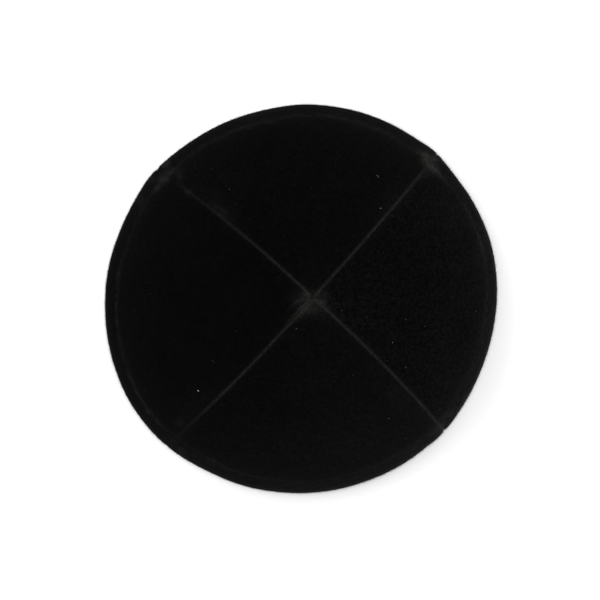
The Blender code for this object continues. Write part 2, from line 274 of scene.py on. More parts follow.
# The camera's view of the photographed cap, in pixels of its 600 x 600 frame
PHOTO_SIZE = 600
PHOTO_CAP_WIDTH = 392
PHOTO_CAP_MIDDLE = (301.0, 298.85)
PHOTO_CENTRE = PHOTO_SIZE / 2
CAMERA_HEIGHT = 1.10
SENSOR = 36.0
PIXEL = (CAD_BOX[1][0] - CAD_BOX[0][0]) / PHOTO_CAP_WIDTH  # at the rim
PIXELS_A_RADIAN = (CAMERA_HEIGHT - FOLD_CENTRE_HEIGHT) / PIXEL
EYE = np.array([PHOTO_CENTRE - PHOTO_CAP_MIDDLE[0], PHOTO_CAP_MIDDLE[1] - PHOTO_CENTRE]) * PIXEL

# The studio: azimuth anticlockwise from the cap's right, elevation, distance, the lamp's two sides, watts
Lamp = namedtuple("Lamp", "name azimuth elevation distance width depth watts")
LAMPS = (
    Lamp("key", radians(158), radians(35), 1.6, 1.8, 0.8, 16.5),
    Lamp("top", radians(59), radians(38), 1.6, 1.4, 0.6, 7.6),
)
SKY = 1.06
FLOOR_WHITE = 0.87
FLOOR_HALF, FLOOR_DROP = 3.0, 0.05 * MM

# Colours and finishes
DARK = (0.00113, 0.00113, 0.00113)
# The open pile's paler sides, with painted sheen
PALE = (0.0147, 0.0146, 0.0138)
BACKING = (0.0170, 0.0166, 0.0162)
THREAD_TINT = (1, 0.98, 0.94)
VELVET_SHEEN, VELVET_SHEEN_ROUGHNESS = 0.014, 0.42
WEAVE_SCALE, PLY_SCALE, PILE_BUMP_SCALE = 620, 900, 1400

# Fine noises of the materials: bumps a metre, detail, and the values that they run between
Grain = namedtuple("Grain", "scale detail low high")
PILE_GRAIN = Grain(780, 2, -0.34, 0.36)
TUFT_GRAIN = Grain(420, 2, 0.88, 1.14)
OPEN_GRAIN = Grain(1100, 3, 0.55, 1.5)
PILE_ROUGHNESS = Grain(900, 2, 0.86, 1.0)
SLUB_GRAIN = Grain(90, 3, 0.85, 1.15)
BACKING_GRAIN = Grain(500, 2, 0.85, 1.15)
BACKING_ROUGHNESS = Grain(500, 2, 0.75, 0.95)
THREAD_GRAIN = Grain(400, 2, 0.6, 1.3)
THREAD_ROUGHNESS = Grain(800, 2, 0.5, 0.7)
LINT_GRAIN = Grain(3000, 2, 0.8, 1.2)


def bell(value, width):
    return np.exp(-((value / width) ** 2))


def turn_between(angle, other):
    """How far an angle is from another one, at most half way round."""
    return (angle - other + pi) % (2 * pi) - pi


def rim_point(angle):
    """The outline of the rim seen from above, for an array of directions from its middle."""
    radius = RIM_RADIUS + RIM_OVAL * np.cos(2 * (angle - RIM_OVAL_ANGLE))
    radius = radius + RIM_TRIANGLE * np.cos(3 * (angle - RIM_TRIANGLE_ANGLE))
    for seam in SEAMS.values():
        corner = bell(turn_between(angle, seam.rim_angle), CORNER_SPREAD)
        radius = radius + RIM_RADIUS * seam.corner * corner
    for bulge in BULGES:
        away = turn_between(angle, radians(bulge.direction))
        radius = radius + bulge.out * MM * bell(away, radians(bulge.spread))
    return np.stack([radius * np.cos(angle), radius * np.sin(angle)], axis=-1)


def meridian(reach, share):
    """How far out and how high the middle of the cloth lies, and the direction square to it."""
    angle = DOME_ANGLE * share
    span = (reach - FOLD_RADIUS) / sin(DOME_ANGLE)
    rise = (DOME_HEIGHT - FOLD_CENTRE_HEIGHT) / (1 - cos(DOME_ANGLE))
    out = span * np.sin(angle)
    high = FOLD_CENTRE_HEIGHT + rise * (np.cos(angle) - cos(DOME_ANGLE))
    square = np.stack(np.broadcast_arrays(rise * np.sin(angle), span * np.cos(angle)), axis=-1)
    return out, high, square / np.linalg.norm(square, axis=-1, keepdims=True)


def meridian_length():
    shares = np.linspace(0, 1, 65)
    out, high, _ = meridian(RIM_RADIUS, shares)
    return float(np.hypot(np.diff(out), np.diff(high)).sum())


LENGTH = meridian_length()


def middle_of_rim():
    outline = rim_point(np.linspace(0, 2 * pi, 1440, endpoint=False))
    return (outline.min(axis=0) + outline.max(axis=0)) / 2


MIDDLE = middle_of_rim()


def lattice_noise(points, size, seed):
    """Smooth noise from -1 to 1 with bumps of this size, the same on each run."""
    spots = np.asarray(points) / size + 1000.0
    base = np.floor(spots).astype(np.int64)
    part = spots - base
    part = part * part * (3 - 2 * part)
    total = np.zeros(len(spots))
    for corner in np.ndindex(2, 2, 2):
        at = base + corner
        mix = at[:, 0] * 73856093 ^ at[:, 1] * 19349663 ^ at[:, 2] * 83492791 ^ seed * 2654435761
        mix = (mix ^ (mix >> 13)) * 1274126177 & 0xFFFFFFFF
        mix = (mix ^ (mix >> 16)) & 0xFFFF
        weight = np.prod(np.where(np.array(corner) == 1, part, 1 - part), axis=1)
        total += weight * (mix / 32767.5 - 1)
    return total


class Cloth:
    """One gore. Its places are arrays of across, 0 to 1 from seam to seam, and share, 0 at the crown to 1 at
    the fold."""

    def __init__(self, gore):
        self.gore = gore
        self.first = SEAMS[gore.first_seam]
        self.second = SEAMS[gore.second_seam]
        self.turn = (self.second.rim_angle - self.first.rim_angle) % (2 * pi)
        self.middle_reach = float(np.linalg.norm(self.rim(0.5) - CROWN))

    def rim(self, across):
        return rim_point(self.first.rim_angle + self.turn * np.asarray(across, float))

    def width(self, share):
        return self.turn * meridian(self.middle_reach, share)[0]

    def seam_distances(self, across, share):
        width = self.width(share)
        return across * width, (1 - across) * width

    def place(self, across, share, out, high):
        ray = self.rim(across) - CROWN
        direction = ray / np.linalg.norm(ray, axis=-1, keepdims=True)
        bow = RIM_RADIUS * (self.first.bow + (self.second.bow - self.first.bow) * across)
        spread = np.sin(DOME_ANGLE * share) / sin(DOME_ANGLE)
        sideways = np.stack([-direction[:, 1], direction[:, 0]], axis=-1)
        flat = CROWN - MIDDLE + direction * (out + GAP * spread)[:, None]
        flat += sideways * (bow * 4 * spread * (1 - spread))[:, None]
        return np.column_stack([flat, high])

    def point(self, across, share, depth):
        """Points this deep under the outer face of the smooth cloth."""
        reach = np.linalg.norm(self.rim(across) - CROWN, axis=-1)
        out, high, square = meridian(reach, share)
        lift = FOLD_RADIUS - depth
        lift = lift + SEAM_RIDGE * np.cos(2 * pi * across) * np.sin(pi * share) ** 2
        lift = lift + CROWN_BUMP * bell(out, CROWN_BUMP_RADIUS)
        return self.place(across, share, out + lift * square[:, 0], high + lift * square[:, 1])

    def roll(self, across, share):
        """How far the outer face drops towards the seams: less, and narrower, at the hem."""
        hem = np.clip(1 - (1 - share) * LENGTH / STITCH_HEIGHT, 0, 1)
        drop = 0
        for seam, away in zip((self.first, self.second), self.seam_distances(across, share)):
            width = SEAM_ROLL_WIDTH * (1 - HEM_ROLL * hem)
            side = SEAM_ROLL_DEPTH * np.clip(1 - away / width, 0, None) ** 2
            side = side + CREASE_DEPTH * bell(away, CREASE_WIDTH)
            drop = drop + side * (1 - (1 - seam.notch) * hem)
        return drop

    def unevenness(self, across, share):
        """Soft waves of the cloth, tucks of the hem and the pull of the stitches, as a depth."""
        smooth = self.point(across, share, np.zeros(len(across)))
        up = (1 - share) * LENGTH
        depth = WAVE_DEPTH * lattice_noise(smooth, WAVE_SIZE, WAVE_SEED)
        in_hem = np.exp(-((up / STITCH_HEIGHT - TUCK_PLACE) ** 2) * TUCK_SHARPNESS)
        tucks = lattice_noise(smooth * (1, 1, 0.25), TUCK_SIZE, TUCK_SEED)
        depth += TUCK_DEPTH * in_hem * tucks
        along_rim = (self.first.rim_angle + self.turn * across) * RIM_RADIUS
        near_stitch = bell(up - STITCH_HEIGHT, PUCKER_WIDTH)
        depth += PUCKER_DEPTH * near_stitch * np.cos(2 * pi * along_rim / HEM_STITCH)
        away = np.minimum(*self.seam_distances(across, share))
        near_seam = bell(away, SEAM_PUCKER_WIDTH)
        depth += PUCKER_DEPTH * near_seam * np.cos(2 * pi * up / SEAM_STITCH)
        return depth

    def outer(self, across, share):
        up = (1 - share) * LENGTH
        groove = STITCH_GROOVE_DEPTH * bell(2 * (up - STITCH_HEIGHT), STITCH_MARGIN)
        depth = self.roll(across, share) + groove + self.unevenness(across, share)
        return self.point(across, share, depth)

    def inner(self, across, share):
        up = (1 - share) * LENGTH
        step = np.clip((up - HEM_EDGE) / HEM_EDGE_SLOPE, 0, 1)
        away = np.minimum(*self.seam_distances(across, share))
        edge = np.clip((ALLOWANCE_WIDTH - away / MM) / ALLOWANCE_EDGE, 0, 1)
        allowance = ALLOWANCE_HEIGHT * MM * edge * edge * (3 - 2 * edge) * step
        allowance = allowance * (1 - INNER_CREASE * bell(away, CREASE_WIDTH))
        depth = HEM_THICKNESS - HEM_LAYER * step + allowance
        return self.point(across, share, depth + INNER_UNEVENNESS * self.unevenness(across, share))

    def fold(self, across, step):
        """Points round the fold of the hem: step 0 is its outer side and step 1 its inner side."""
        ones = np.ones(len(across))
        reach = np.linalg.norm(self.rim(across) - CROWN, axis=-1)
        out, high, square = meridian(reach, ones)
        start = np.arctan2(square[:, 1], square[:, 0])
        angle = start - pi * step
        outside = np.clip(np.cos(angle), 0, 1)
        rough = self.roll(across, ones) + self.unevenness(across, ones)
        radius = FOLD_RADIUS - rough * outside
        height = np.clip(high + radius * np.sin(angle), 0, None)
        return self.place(across, ones, out + radius * np.cos(angle), height)

    def columns(self, share):
        """Where the columns cross a row: close together near the seams."""
        width = max(float(self.width(share)), 1e-9)
        count = int(round((self.turn * self.middle_reach - 2 * ROLL_STEPS[-1] * MM) / FINE_COLUMN))
        reach = min(ROLL_STEPS[-1] * MM / width, MOST_REACH)
        left = np.array(ROLL_STEPS) / ROLL_STEPS[-1] * reach
        middle = np.linspace(reach, 1 - reach, count + 1)[1:-1]
        return np.concatenate([left, middle, 1 - left[::-1]])


def row_shares():
    """Rows from the crown to the fold, close together at the crown and near the stitches."""
    near = STITCH_HEIGHT + np.array(STITCH_STEPS[::-1]) * MM
    hem = np.linspace(near[-1], 0, int(near[-1] / FINE_ROW) + 1)[1:]
    crown = np.array(CROWN_STEPS) * MM
    far = LENGTH - near[0] - crown[-1]
    body = crown[-1] + far * np.linspace(0, 1, int(far / FINE_ROW))[1:-1]
    return np.concatenate([crown / LENGTH, body / LENGTH, 1 - near / LENGTH, 1 - hem / LENGTH])


ROWS = row_shares()


def in_photo(points):
    """The photograph's pixels in which these points show."""
    flat = (points[:, :2] - EYE) / (CAMERA_HEIGHT - points[:, 2:]) * PIXELS_A_RADIAN
    return PHOTO_CENTRE + flat * (1, -1)


def marks(points, rows):
    """The strengths of these marks, added up at each point, with ragged edges."""
    ragged = [lattice_noise(points, RAGGED_SIZE, seed) for seed in RAGGED_SEEDS]
    place = in_photo(points) + RAGGED_REACH * np.stack(ragged, axis=-1)
    total = np.zeros(len(points))
    for mark in rows:
        offset = place - (mark.x, mark.y)
        turn = radians(mark.turn)
        along = offset[:, 0] * cos(turn) - offset[:, 1] * sin(turn)
        aside = offset[:, 0] * sin(turn) + offset[:, 1] * cos(turn)
        total += mark.strength * np.exp(-((along / mark.length) ** 2) - (aside / mark.width) ** 2)
    return total


def topstitch_plain(points):
    """How plainly the topstitch shows in the direction of each point."""
    direction = np.degrees(np.arctan2(points[:, 1], points[:, 0])) % 360
    return np.interp(direction, *zip(*TOPSTITCH))


def pale_pile(cloth, across, share, points):
    """How far the pile lies open, with its paler sides showing and painted sheen on them."""
    up = (1 - share) * LENGTH
    first, second = cloth.seam_distances(across, share)
    fine, broken, patchy = (0.5 + 0.5 * lattice_noise(points, *bumps) for bumps in OPEN_BUMPS)
    pale = np.zeros(len(points))
    for seam, away in ((cloth.first, first), (cloth.second, second)):
        strength = np.interp(share, SEAM_PLACES, seam.line)
        line = SEAM_PALE * bell(away, SEAM_PALE_WIDTH) * (0.70 + 0.35 * fine + 0.25 * broken)
        pale += strength * (line + SEAM_HALO * bell(away, SEAM_HALO_WIDTH) * patchy)
    plain = topstitch_plain(points)
    dashes = np.clip(2.4 * broken - 0.45, 0.12, 1.6) * (0.8 + 0.4 * fine)
    pale += STITCH_PALE * plain * bell(up - STITCH_HEIGHT + STITCH_SAG, STITCH_PALE_WIDTH) * dashes
    # painted sheen on the lower lip of the stitched groove
    pale += LIP_PAINTED_SHEEN * (0.4 + 0.6 * plain) * bell(up - STITCH_HEIGHT + LIP_DROP, LIP_WIDTH)
    pale += STITCH_HALO * bell(up - STITCH_HEIGHT, STITCH_HALO_WIDTH) * patchy
    return np.clip(pale + marks(points, MARKS) * (0.65 + 0.35 * fine + 0.35 * broken), 0, 1.5)


def nap_and_sheen_tone(cloth, share, points):
    """Slow changes in how light the pile looks, with painted sheen near the fold and painted light on one
    side.
    """
    angle = np.arctan2(points[:, 1], points[:, 0])
    brushed_and_lit = ((1 + np.cos(angle - BRUSHED_AND_LIT_TOWARDS)) / 2) ** BRUSHED_AND_LIT_SHARPNESS
    up = (1 - share) * LENGTH / MM
    heights, plain, more = zip(*NAP_AND_SHEEN)
    tone = np.interp(up, heights, plain) + brushed_and_lit * np.interp(up, heights, more)
    mottle = 1
    for size, reach, seed in MOTTLES:
        mottle = mottle + reach * lattice_noise(points, size, seed)
    return cloth.gore.nap * tone * mottle * (1 + marks(points, SHADES))


def new_object(name, data):
    piece = bpy.data.objects.new(name, data)
    bpy.context.scene.collection.objects.link(piece)
    return piece


def new_mesh(name, points, faces, materials, face_materials=None):
    mesh = bpy.data.meshes.new(name)
    mesh.from_pydata(points.tolist(), [], faces)
    for material in materials:
        mesh.materials.append(material)
    if face_materials is not None:
        mesh.polygons.foreach_set("material_index", np.asarray(face_materials, np.int32))
    mesh.update()
    return new_object(name, mesh)


def set_values(mesh, name, values):
    layer = mesh.attributes.new(name, "FLOAT", "POINT")
    layer.data.foreach_set("value", np.asarray(values, np.float32))


def set_map(mesh, name, corners):
    layer = mesh.uv_layers.new(name=name)
    layer.uv.foreach_set("vector", np.asarray(corners, np.float32).ravel())


Rings = namedtuple("Rings", "points across share tips")


def panel_rings(cloth):
    """Rings of points down the outer face, round the fold and up inside, and the two tips at the crown."""
    across = np.array([cloth.columns(share) for share in ROWS])
    count = across.shape[1]
    share = np.repeat(ROWS[:, None], count, axis=1)
    outer = cloth.outer(across.ravel(), share.ravel()).reshape(len(ROWS), count, 3)
    inner = cloth.inner(across.ravel(), share.ravel()).reshape(len(ROWS), count, 3)
    fold = np.array([cloth.fold(across[-1], step) for step in FOLD_SHARES])
    fold_across = np.repeat(across[-1:], len(FOLD_SHARES), axis=0)
    return Rings(
        np.concatenate([outer[1:], fold, inner[:0:-1]]),
        np.concatenate([across[1:], fold_across, across[:0:-1]]),
        np.concatenate([share[1:], np.ones((len(FOLD_SHARES), count)), share[:0:-1]]),
        np.array([outer[0].mean(axis=0), inner[0].mean(axis=0)]),
    )


def ring_lengths():
    """How far along the cloth each ring lies."""
    outside = np.concatenate([ROWS * LENGTH, LENGTH + FOLD_SHARES * pi * FOLD_RADIUS])
    inside = outside[-1] + FOLD_RADIUS + (1 - ROWS[::-1]) * LENGTH
    return np.concatenate([outside, inside])


class Skin:
    """Faces, with their corners on the map and their material slots."""

    def __init__(self):
        self.faces, self.corners, self.slots = [], [], []

    def add(self, indices, places, slot):
        self.faces.append(tuple(indices))
        self.corners.extend(places)
        self.slots.append(slot)


def cover(skin, cloth, rings, along):
    """Faces over the rings: pile, but for the backing that shows inside."""
    total, count = rings.across.shape
    outer_tip, inner_tip = total * count, total * count + 1
    near = np.full(total, len(ROLL_STEPS) - 1)
    near[cloth.width(rings.share[:, 0]) * MOST_REACH < ALLOWANCE_WIDTH * MM] = count
    hem_rings = len(ROWS) - 1 + len(FOLD_SHARES) + int((1 - ROWS[1:] < HEM_EDGE / LENGTH).sum())
    for column in range(count - 1):
        left, right = column / (count - 1), (column + 1) / (count - 1)
        tip = ((0.5, 0), (left, along[1]), (right, along[1]))
        skin.add((outer_tip, column, column + 1), tip, PILE_SLOT)
        for ring in range(total - 1):
            a = ring * count + column
            low, high = along[ring + 1], along[ring + 2]
            pile = ring < hem_rings or min(column, count - 2 - column) < near[ring]
            spots = ((left, low), (left, high), (right, high), (right, low))
            skin.add((a, a + count, a + count + 1, a + 1), spots, PILE_SLOT if pile else BACKING_SLOT)
        a = (total - 1) * count + column
        tip = ((0.5, along[-1]), (right, along[-2]), (left, along[-2]))
        skin.add((inner_tip, a + 1, a), tip, PILE_SLOT)


def close_sides(skin, rings, along):
    """The faces towards the neighbouring gores."""
    total, count = rings.across.shape
    half = len(ROWS) - 1
    for column, place, turn in ((0, FIRST_STRIP, -1), (count - 1, SECOND_STRIP, 1)):
        chain = [total * count, *range(column, total * count, count), total * count + 1]
        beside = place + STRIP_WIDTH
        for n in range(half):
            pair = (chain[n], chain[n + 1], chain[-2 - n], chain[-1 - n])
            spots = ((place, along[n]), (place, along[n + 1]), (beside, along[n + 1]), (beside, along[n]))
            skin.add(pair[::turn], spots[::turn], BACKING_SLOT)
        rest = chain[half:-half]
        spots = []
        for n in range(len(rest)):
            spots.append((place + STRIP_WIDTH * n / len(rest), along[half] + 0.5 * MM * (n % 2)))
        skin.add(rest[::turn], spots[::turn], BACKING_SLOT)


def paint_panel(mesh, cloth, rings, points):
    """What the cloth looks like at each of its points, for the materials."""
    across = np.append(rings.across.ravel(), (0.5, 0.5))
    share = np.append(rings.share.ravel(), (0, 0))
    rows, steps = len(ROWS) - 1, len(FOLD_SHARES)
    outside = np.zeros(len(rings.points))
    outside[:rows] = 1
    outside[rows : rows + steps] = np.clip(1.6 - 2.5 * FOLD_SHARES, 0, 1)
    outside = np.append(np.repeat(outside, rings.across.shape[1]), (1, 0))
    away = np.minimum(*cloth.seam_distances(across, share))
    folded = INNER_PALE * bell(away, CREASE_WIDTH)
    set_values(mesh, "pale", folded + outside * (pale_pile(cloth, across, share, points) - folded))
    set_values(mesh, "tone", INNER_TONE + outside * (nap_and_sheen_tone(cloth, share, points) - INNER_TONE))
    set_values(mesh, "grain", np.full(len(points), cloth.gore.grain))
    sideways = (across - 0.5) * cloth.width(share)
    woven = np.column_stack([sideways, share * LENGTH, np.zeros(len(points))])
    layer = mesh.attributes.new("woven", "FLOAT_VECTOR", "POINT")
    layer.data.foreach_set("vector", woven.astype(np.float32).ravel())


def build_panel(cloth, pile, backing):
    """The fine cloth of one gore, as a closed shell."""
    rings, along, skin = panel_rings(cloth), ring_lengths(), Skin()
    cover(skin, cloth, rings, along)
    close_sides(skin, rings, along)
    points = np.concatenate([rings.points.reshape(-1, 3), rings.tips])
    piece = new_mesh("velvet_" + cloth.gore.name, points, skin.faces, (pile, backing), skin.slots)
    mesh = piece.data
    set_map(mesh, "OFBake", MAP_MARGIN + np.array(skin.corners) * (MAP_WIDTH, MAP_HEIGHT / along[-1]))
    paint_panel(mesh, cloth, rings, points)
    mesh.shade_smooth()
    mesh.set_sharp_from_angle(angle=radians(55))
    return piece


def loose_piece(name, points, faces, material, **values):
    """A smooth piece that lies on the velvet, with these values at its points."""
    piece = new_mesh(name, points, faces, (material,))
    for key, numbers in values.items():
        set_values(piece.data, key, numbers)
    piece.data.shade_smooth()
    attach(piece, "root")
    return piece


SMALL, SMALL_TURN = 1e-4, 0.01  # steps that tell which way the cloth faces


def unit(vectors):
    return vectors / np.maximum(np.linalg.norm(vectors, axis=-1, keepdims=True), 1e-12)


def face_frame(face, across, place, small=SMALL):
    """Points of a face of the cloth, with the ways out of it, down it and along it to the next seam."""
    root = face(across, place)
    side = unit(face(across + SMALL, place) - root)
    down = unit(face(across, place + small) - root)
    return root, unit(np.cross(down, side)), down, side


def fibre_roots(cloth, row, chance):
    """Where the fibres of this row stand, as arrays of across and share."""
    if row.place == "panel":
        area = PANEL_AREA * cloth.turn * cloth.middle_reach * LENGTH / MM**2
        count = int(area * row.density)
        return chance.random(count), np.sqrt(chance.random(count)) * 0.99
    if row.place == "seam":
        count = int(LENGTH / MM * row.density)
        share = 0.02 + 0.97 * chance.random(count)
        spread = np.abs(chance.normal(0, SEAM_FIBRE_SPREAD, count)) * MM
        away = np.clip(spread / np.maximum(cloth.width(share), 2 * MM), 0, 0.5)
        return np.where(chance.random(count) < 0.5, away, 1 - away), share
    if row.place == "crown":
        count = int(row.density)
        return chance.random(count), 0.001 + np.abs(chance.normal(0, CROWN_FIBRE_SPREAD, count))
    count = int(cloth.width(1.0) / MM * row.density)
    across = chance.random(count)
    if row.place == "rim":
        return across, np.ones(count)
    return across, 1 - (STITCH_HEIGHT + chance.normal(0, STITCH_FIBRE_SPREAD, count) * MM) / LENGTH


Tuft = namedtuple("Tuft", "roots tips down side pale tone")


def grow(cloth, row, chance):
    """The fibres of one row."""
    across, share = fibre_roots(cloth, row, chance)
    count = len(across)
    if row.place == "rim":
        turn = chance.random(count) ** RIM_FIBRES_CROWDING * RIM_FIBRES_END
        root, out, down, side = face_frame(cloth.fold, across, turn, SMALL_TURN)
    else:
        root, out, down, side = face_frame(cloth.outer, across, share)
    length = row.length * MM * chance.uniform(*FIBRE_LENGTHS, count)[:, None]
    sway = chance.normal(0, row.lean * FIBRE_SWAY, (count, 2))
    if row.place == "seam":
        sway[:, 1] += np.where(across < 0.5, SEAM_LEAN, -SEAM_LEAN)
    if row.place == "panel":
        sway[:, 0] += PANEL_LEAN
    aim = unit(out + down * sway[:, :1] + side * sway[:, 1:])
    pale = pale_pile(cloth, across, share, root) * chance.uniform(*FIBRE_PALES, count)
    light = row.light * np.exp(chance.normal(*FIBRE_LIGHTS, count))
    flecks = chance.random(count) < FLECK_SHARE * cloth.gore.grain**2
    light = np.where(flecks, light * chance.uniform(*FLECK_LIGHT, count), light)
    tone = nap_and_sheen_tone(cloth, share, root) * light
    return Tuft(root - out * FIBRE_SINK, root + aim * length, down, side, pale, tone)


def spikes(tuft, chance):
    """Points and faces of closed spikes with three sides, from the fibres' roots to their tips."""
    start = chance.uniform(0, 2 * pi, len(tuft.roots))
    ring = []
    for n in range(3):
        turn = (start + 2 * pi * n / 3)[:, None]
        ring.append(tuft.roots + FIBRE_RADIUS * (tuft.down * np.cos(turn) + tuft.side * np.sin(turn)))
    points = np.stack(ring + [tuft.tips], axis=1).reshape(-1, 3)
    first = 4 * np.arange(len(start))[:, None, None]
    faces = (first + np.array([(0, 1, 3), (1, 2, 3), (2, 0, 3), (2, 1, 0)])).reshape(-1, 4, 3)
    square = np.cross(ring[1] - ring[0], ring[2] - ring[0])
    facing = np.einsum("ij,ij->i", square, tuft.tips - tuft.roots)
    faces[facing < 0] = faces[facing < 0][:, :, ::-1]
    return points, faces.reshape(-1, 3)


def spike_map(count):
    """Each fibre's four faces in a cell of their own."""
    cells = int(np.ceil(np.sqrt(count)))
    cell = np.stack([np.arange(count) % cells, np.arange(count) // cells], axis=-1)
    spots = np.array([(0.15, 0.15), (0.85, 0.15), (0.5, 0.85)])
    corners = (cell[:, None, None, :] + spots[None, None, :, :]) / cells
    return np.broadcast_to(corners, (count, 4, 3, 2)).reshape(-1, 2)


def build_fibres(cloth, material, seed):
    """Single fibres standing out of the pile."""
    chance = np.random.default_rng(seed)
    tufts = [grow(cloth, row, chance) for row in FIBRES]
    tuft = Tuft(*(np.concatenate(column) for column in zip(*tufts)))
    for ends in (tuft.roots, tuft.tips):
        ends[:, 2] = np.maximum(ends[:, 2], 2 * FIBRE_RADIUS)
    points, faces = spikes(tuft, chance)
    name = cloth.gore.name.replace("panel", "pile")
    pale, tone = np.repeat(tuft.pale, 4), np.repeat(tuft.tone, 4)
    piece = loose_piece(name, points, faces.tolist(), material, pale=pale, tone=tone)
    set_map(piece.data, "OFBake", spike_map(len(tuft.roots)))


def tube(path, out, radius, sides=6):
    """Points and faces of a closed round thread along a path, its ends drawn in."""
    path = np.asarray(path)
    ahead = unit(np.gradient(path, axis=0))
    up = unit(out - ahead * np.sum(out * ahead, axis=1, keepdims=True))
    across = np.cross(ahead, up)
    taper = np.ones(len(path))
    taper[0] = taper[-1] = THREAD_END
    turns = 2 * pi * np.arange(sides) / sides
    rings, faces = [], []
    for n in range(len(path)):
        spokes = np.cos(turns)[:, None] * up[n] + np.sin(turns)[:, None] * across[n]
        rings.append(path[n] + radius * taper[n] * spokes)
    points = np.concatenate(rings)
    for n in range(len(path) - 1):
        for m in range(sides):
            a, b = n * sides + m, n * sides + (m + 1) % sides
            faces.append((a, a + sides, b + sides, b))
    faces.append(tuple(range(sides)))
    faces.append(tuple(range(len(points) - 1, len(points) - 1 - sides, -1)))
    return points, faces


def stitch_path(cloth, middle, side, chance):
    """A stitch along the hem, dipping into the cloth at both ends."""
    half = 0.5 * STITCH_LENGTH / cloth.width(1.0) * chance.uniform(*STITCH_LENGTHS)
    steps = np.linspace(-1, 1, STITCH_POINTS)
    across = middle + half * steps
    share = 1 - STITCH_HEIGHT / LENGTH + steps * chance.normal(0, STITCH_TILT) * MM / LENGTH
    share += chance.normal(0, STITCH_STRAY) * MM / LENGTH
    root, out, _, _ = face_frame(cloth.outer, across, share)
    if side == "inner":
        root, out = cloth.inner(across, share), -out
    lift = STITCH_RADIUS * STITCH_SINK - STITCH_DIP * np.abs(steps) ** 3
    return root + out * lift[:, None], out


def stitch_looks(cloth, side, middle_point):
    """How plainly a stitch shows, and the tone of the pile round it."""
    if side == "inner":
        return 1.0, INNER_TONE
    share = np.array([1 - STITCH_HEIGHT / LENGTH])
    return float(topstitch_plain(middle_point)[0]), float(nap_and_sheen_tone(cloth, share, middle_point)[0])


def build_stitches(cloths, material):
    """The two rows of stitches that hold the hem: one outside, one inside, half a stitch apart."""
    for side, shift in (("outer", 0.5), ("inner", 1.0)):
        chance = np.random.default_rng(STITCH_SEED)
        points, faces, shown, tones = [], [], [], []
        for cloth in cloths:
            count = int(round(cloth.width(1.0) / HEM_STITCH))
            for n in range(count):
                middle = (n + shift) / count
                if not STITCH_FREE < middle < 1 - STITCH_FREE:
                    continue
                path, out = stitch_path(cloth, middle, side, chance)
                more, skin = tube(path, out, STITCH_RADIUS)
                faces += [tuple(index + len(points) for index in face) for face in skin]
                points += list(more)
                plain, tone = stitch_looks(cloth, side, path[3:4])
                shown += [plain * chance.uniform(*STITCH_PALES)] * len(more)
                tones += [tone] * len(more)
        loose_piece("hem_stitches_" + side, np.array(points), faces, material, pale=shown, tone=tones)


def fleck(spot, normal, length, chance):
    """Points and faces of one bent fibre lying on the cloth, this many millimetres long."""
    turn = chance.uniform(0, 2 * pi)
    side = unit(np.cross(normal, (cos(turn), sin(turn), 0.3)))
    other = np.cross(normal, side)
    steps = np.linspace(-0.5, 0.5, LINT_POINTS)[:, None]
    curl = chance.uniform(-LINT_CURL, LINT_CURL)
    path = spot + normal * LINT_LIFT + normal * LINT_ARCH * np.cos(steps * 4)
    path = path + length * MM * (steps * side + curl * (steps**2 - 0.1) * other)
    radius = min(LINT_THICKEST, LINT_THICKNESS * length) * MM
    return tube(path, np.tile(normal, (LINT_POINTS, 1)), radius)


def plain_flecks(pieces, chance):
    """The lint that the photograph shows, where it shows it."""
    graph = bpy.context.evaluated_depsgraph_get()
    surfaces = [BVHTree.FromObject(piece, graph) for piece in pieces]
    eye = Vector((EYE[0], EYE[1], CAMERA_HEIGHT))
    flecks = []
    for row in LINT:
        aim = Vector((row.x - PHOTO_CENTRE, PHOTO_CENTRE - row.y, -PIXELS_A_RADIAN)).normalized()
        hits = [surface.ray_cast(eye, aim) for surface in surfaces]
        spot, normal = min((hit for hit in hits if hit[0]), key=lambda hit: hit[3])[:2]
        flecks.append(fleck(np.array(spot), np.array(normal), row.length, chance))
    return flecks, [row.pale for row in LINT]


def build_lint(pieces, cloths, material):
    """Flecks of lint on the velvet: the plain ones, and finer ones all over."""
    chance = np.random.default_rng(LINT_SEED)
    flecks, pales = plain_flecks(pieces, chance)
    for cloth in cloths:
        count = cloth.gore.specks
        across, share = chance.uniform(0.03, 0.97, count), np.sqrt(chance.uniform(0.01, 0.97, count))
        roots, out, _, _ = face_frame(cloth.outer, across, share)
        for spot, normal in zip(roots, out):
            flecks.append(fleck(spot, normal, chance.uniform(*FINE_LINT_LENGTH), chance))
            pales.append(FINE_LINT_PALE * np.exp(chance.normal(0, FINE_LINT_SPREAD)))
    points, faces, shown = [], [], []
    for (more, skin), pale in zip(flecks, pales):
        faces += [tuple(index + len(points) for index in face) for face in skin]
        points += list(more)
        shown += [pale] * len(more)
    loose_piece("lint", np.array(points), faces, material, pale=shown)


def set_inputs(tree, node, inputs):
    """Links each input that is given a socket, and sets the others."""
    for key, value in inputs.items():
        if isinstance(value, bpy.types.NodeSocket):
            tree.links.new(value, node.inputs[key])
        else:
            node.inputs[key].default_value = value


def add_node(tree, kind, inputs=None, **settings):
    node = tree.nodes.new("ShaderNode" + kind)
    for key, value in settings.items():
        setattr(node, key, value)
    set_inputs(tree, node, inputs or {})
    return node


def new_material(look):
    """A material named after this function, which gives the inputs of its shader."""
    material = bpy.data.materials.new(look.__name__)
    material.use_nodes = True
    tree = material.node_tree
    set_inputs(tree, tree.nodes["Principled BSDF"], look(tree))
    return material


def maths(tree, operation, first, second):
    return add_node(tree, "Math", {0: first, 1: second}, operation=operation).outputs[0]


def scaled(tree, colour, factor):
    inputs = {0: colour, "Scale": factor}
    return add_node(tree, "VectorMath", inputs, operation="SCALE").outputs[0]


def attribute(tree, name, output="Fac"):
    return add_node(tree, "Attribute", attribute_name=name).outputs[output]


def object_place(tree):
    return add_node(tree, "TexCoord").outputs["Object"]


